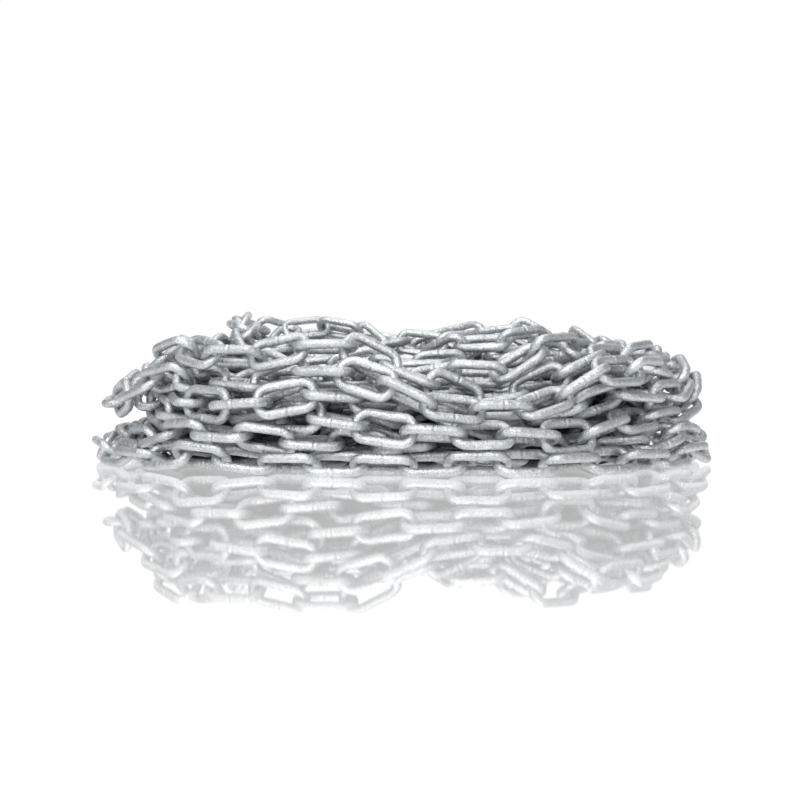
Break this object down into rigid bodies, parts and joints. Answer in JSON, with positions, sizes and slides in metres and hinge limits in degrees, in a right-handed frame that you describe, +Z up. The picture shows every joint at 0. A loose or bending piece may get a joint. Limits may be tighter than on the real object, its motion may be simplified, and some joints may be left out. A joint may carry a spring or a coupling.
{
  "type": "heap of steel chain",
  "caption": "Loose oval heap of galvanised, welded steel link chain, laid turn on turn, higher at the back and dished in the middle.",
  "frame": {"origin": "bottom centre of the heap's bounding box, on the floor it rests on", "axes": "+Z up; +X along the heap's longest side, to the right as the picture sees it; -Y towards the picture's camera"},
  "size_m": [0.2912, 0.1995, 0.0739],
  "materials": {
    "galvanised_steel": "hot-dip galvanised: bright, mottled zinc with small lumps and white glints",
    "hidden_steel": "dull and dark, only ever seen through the gaps between links"
  },
  "bodies": {
    "root": {"chain_run_01": "galvanised_steel", "chain_run_02": "galvanised_steel", "chain_run_03": "galvanised_steel", "chain_run_04": "galvanised_steel", "chain_run_05": "galvanised_steel", "chain_run_06": "galvanised_steel", "chain_run_07": "galvanised_steel", "chain_run_08": "galvanised_steel", "chain_run_09": "galvanised_steel", "chain_run_10": "galvanised_steel", "chain_run_11": "galvanised_steel", "chain_run_12": "galvanised_steel", "chain_run_13": "galvanised_steel", "chain_run_14": "galvanised_steel", "chain_run_15": "galvanised_steel", "chain_run_16": "galvanised_steel", "chain_run_17": "galvanised_steel", "chain_run_18": "galvanised_steel", "chain_run_19": "galvanised_steel", "chain_run_20": "galvanised_steel", "chain_run_21": "galvanised_steel", "chain_run_22": "galvanised_steel", "chain_run_23": "galvanised_steel", "chain_run_24": "galvanised_steel", "chain_run_25": "galvanised_steel", "chain_run_26": "galvanised_steel", "chain_run_27": "galvanised_steel", "chain_run_28": "galvanised_steel", "chain_run_29": "galvanised_steel", "chain_run_30": "galvanised_steel", "chain_run_31": "galvanised_steel", "chain_run_32": "galvanised_steel", "chain_run_33": "galvanised_steel", "chain_run_34": "galvanised_steel", "chain_run_35": "galvanised_steel", "chain_run_36": "galvanised_steel", "chain_run_37": "galvanised_steel", "chain_run_38": "galvanised_steel", "chain_run_39": "galvanised_steel", "chain_run_40": "galvanised_steel", "chain_run_41": "galvanised_steel", "chain_run_42": "galvanised_steel", "chain_run_43": "galvanised_steel", "chain_run_44": "galvanised_steel", "chain_run_45": "galvanised_steel", "chain_run_46": "galvanised_steel", "chain_run_47": "galvanised_steel", "core": "hidden_steel"}
  },
  "joints": []
}
